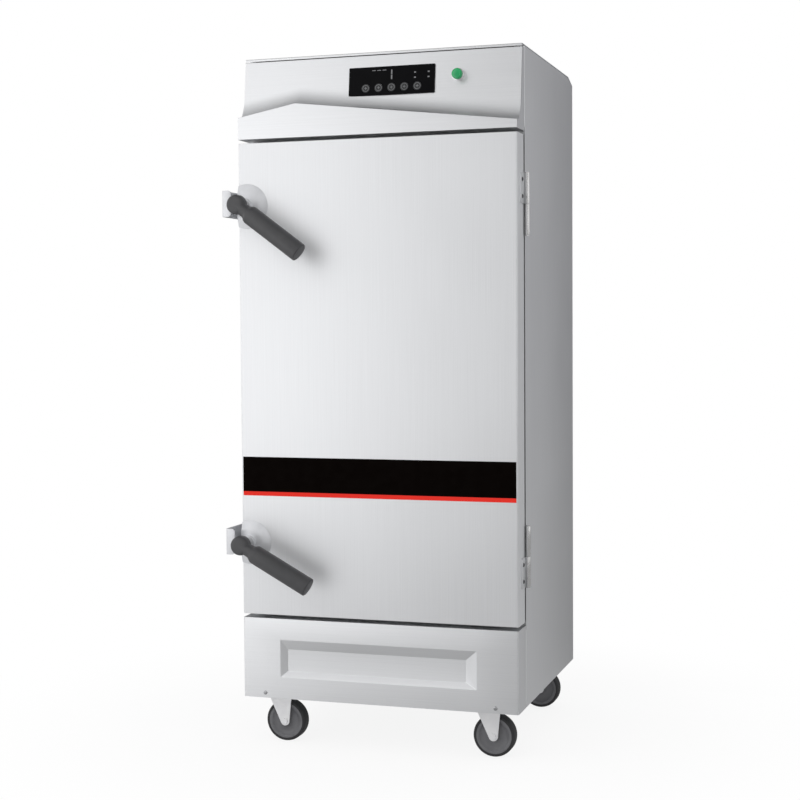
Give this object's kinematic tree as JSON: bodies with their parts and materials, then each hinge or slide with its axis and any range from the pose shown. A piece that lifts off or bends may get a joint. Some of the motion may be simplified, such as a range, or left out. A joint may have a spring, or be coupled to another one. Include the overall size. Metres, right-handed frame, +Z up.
{
  "type": "electric rice steamer",
  "caption": "Tall insulated steaming cabinet on swivel castors, with a hinged door, two lever latches, a control head with keys and a push button, and trays over a heated water tank.",
  "frame": {"origin": "on the floor under the middle of the whole object's bounding box", "axes": "+Z up; +Y to the back, towards the pipe fittings, so the door faces -Y; +X to the hinge side, on the right as one faces the door"},
  "size_m": [0.72, 0.7705, 1.65],
  "materials": {
    "brushed_stainless": "satin",
    "inner_stainless": "satin",
    "bright_stainless": "polished",
    "zinc": "polished",
    "brass_fitting": "satin",
    "black_band": "gloss",
    "window_black": "gloss",
    "key_cap": "gloss",
    "green_lens": "gloss",
    "black_grip": "matte",
    "black_nylon": "matte",
    "contactor_grey": "matte",
    "circuit_board": "satin",
    "seal_rubber": "matte",
    "wheel_tread": "matte",
    "float_ball": "satin",
    "foam": "matte"
  },
  "bodies": {
    "cabinet": {"left_side_panel": "brushed_stainless", "right_side_panel": "brushed_stainless", "back_panel": "brushed_stainless", "top_cover": "brushed_stainless", "chamber_liner": "inner_stainless", "water_tank": "inner_stainless", "wall_insulation": "foam", "head_shelf": "inner_stainless", "power_contactor": "contactor_grey", "head_fascia": "brushed_stainless", "display_window": "window_black", "control_board": "circuit_board", "push_button_body": "bright_stainless", "plinth_panel": "brushed_stainless", "base_pan": "inner_stainless", "plinth_screws": "bright_stainless", "castor_plates": "zinc", "left_tray_rack": "inner_stainless", "right_tray_rack": "inner_stainless", "tray_1": "inner_stainless", "tray_2": "inner_stainless", "tray_3": "inner_stainless", "tray_4": "inner_stainless", "heating_elements": "bright_stainless", "float_valve": "brass_fitting", "drain_valve": "brass_fitting", "steam_vent": "bright_stainless", "cable_gland": "black_nylon", "cabinet_hinge_leaves": "bright_stainless", "hinge_pins": "bright_stainless", "cabinet_hinge_screws": "bright_stainless", "latch_keepers": "bright_stainless"},
    "door": {"door_skin": "brushed_stainless", "door_liner": "inner_stainless", "door_insulation": "foam", "door_gasket": "seal_rubber", "door_band": "black_band", "door_hinge_leaves": "bright_stainless", "door_hinge_screws": "bright_stainless", "latch_rosettes": "bright_stainless"},
    "upper_latch": {"upper_latch_spindle": "bright_stainless", "upper_latch_grip": "black_grip"},
    "lower_latch": {"lower_latch_spindle": "bright_stainless", "lower_latch_grip": "black_grip"},
    "push_button": {"push_button_lens": "green_lens"},
    "key_1": {"key_1": "key_cap"},
    "key_2": {"key_2": "key_cap"},
    "key_3": {"key_3": "key_cap"},
    "key_4": {"key_4": "key_cap"},
    "key_5": {"key_5": "key_cap"},
    "drain_lever": {"drain_lever": "black_grip"},
    "float_arm": {"float_arm": "float_ball"},
    "front_left_fork": {"front_left_fork": "zinc"},
    "front_right_fork": {"front_right_fork": "zinc"},
    "rear_left_fork": {"rear_left_fork": "zinc"},
    "rear_right_fork": {"rear_right_fork": "zinc"},
    "front_left_wheel": {"front_left_wheel": "wheel_tread"},
    "front_right_wheel": {"front_right_wheel": "wheel_tread"},
    "rear_left_wheel": {"rear_left_wheel": "wheel_tread"},
    "rear_right_wheel": {"rear_right_wheel": "wheel_tread"}
  },
  "joints": [
    {"name": "door_swing", "type": "hinge", "parent": "cabinet", "child": "door", "pos_m": [0.354, -0.23275, 0.88], "axis": [0, 0, 1], "range_deg": [0, 170]},
    {"name": "upper_latch_turn", "type": "hinge", "parent": "door", "child": "upper_latch", "pos_m": [-0.312, -0.33275, 1.295], "axis": [0, -1, 0], "range_deg": [0, 95]},
    {"name": "lower_latch_turn", "type": "hinge", "parent": "door", "child": "lower_latch", "pos_m": [-0.312, -0.33275, 0.492], "axis": [0, -1, 0], "range_deg": [0, 95]},
    {"name": "push_button_press", "type": "slide", "parent": "cabinet", "child": "push_button", "axis": [0, 0.993, -0.1184], "range_m": [0, 0.005], "stiffness_N_per_m": 800, "springref_m": -0.003},
    {"name": "key_1_press", "type": "slide", "parent": "cabinet", "child": "key_1", "axis": [0, 0.993, -0.1184], "range_m": [0, 0.001], "stiffness_N_per_m": 1200, "springref_m": -0.0005},
    {"name": "key_2_press", "type": "slide", "parent": "cabinet", "child": "key_2", "axis": [0, 0.993, -0.1184], "range_m": [0, 0.001], "stiffness_N_per_m": 1200, "springref_m": -0.0005},
    {"name": "key_3_press", "type": "slide", "parent": "cabinet", "child": "key_3", "axis": [0, 0.993, -0.1184], "range_m": [0, 0.001], "stiffness_N_per_m": 1200, "springref_m": -0.0005},
    {"name": "key_4_press", "type": "slide", "parent": "cabinet", "child": "key_4", "axis": [0, 0.993, -0.1184], "range_m": [0, 0.001], "stiffness_N_per_m": 1200, "springref_m": -0.0005},
    {"name": "key_5_press", "type": "slide", "parent": "cabinet", "child": "key_5", "axis": [0, 0.993, -0.1184], "range_m": [0, 0.001], "stiffness_N_per_m": 1200, "springref_m": -0.0005},
    {"name": "drain_lever_turn", "type": "hinge", "parent": "cabinet", "child": "drain_lever", "pos_m": [0.187, 0.34925, 0.269], "axis": [0, 0, -1], "range_deg": [0, 90]},
    {"name": "float_arm_swing", "type": "hinge", "parent": "cabinet", "child": "float_arm", "pos_m": [-0.193, 0.20275, 0.3], "axis": [-1, 0, 0], "range_deg": [0, 25]},
    {"name": "front_left_swivel", "type": "hinge", "parent": "cabinet", "child": "front_left_fork", "pos_m": [-0.254, -0.23275, 0.124], "axis": [0, 0, 1], "continuous": true},
    {"name": "front_right_swivel", "type": "hinge", "parent": "cabinet", "child": "front_right_fork", "pos_m": [0.268, -0.23275, 0.124], "axis": [0, 0, 1], "continuous": true},
    {"name": "rear_left_swivel", "type": "hinge", "parent": "cabinet", "child": "rear_left_fork", "pos_m": [-0.254, 0.26325, 0.124], "axis": [0, 0, 1], "continuous": true},
    {"name": "rear_right_swivel", "type": "hinge", "parent": "cabinet", "child": "rear_right_fork", "pos_m": [0.268, 0.26325, 0.124], "axis": [0, 0, 1], "continuous": true},
    {"name": "front_left_roll", "type": "hinge", "parent": "front_left_fork", "child": "front_left_wheel", "pos_m": [-0.248, -0.23275, 0.05], "axis": [0, 1, 0], "continuous": true},
    {"name": "front_right_roll", "type": "hinge", "parent": "front_right_fork", "child": "front_right_wheel", "pos_m": [0.274, -0.23275, 0.05], "axis": [0, 1, 0], "continuous": true},
    {"name": "rear_left_roll", "type": "hinge", "parent": "rear_left_fork", "child": "rear_left_wheel", "pos_m": [-0.248, 0.26325, 0.05], "axis": [0, 1, 0], "continuous": true},
    {"name": "rear_right_roll", "type": "hinge", "parent": "rear_right_fork", "child": "rear_right_wheel", "pos_m": [0.274, 0.26325, 0.05], "axis": [0, 1, 0], "continuous": true}
  ]
}
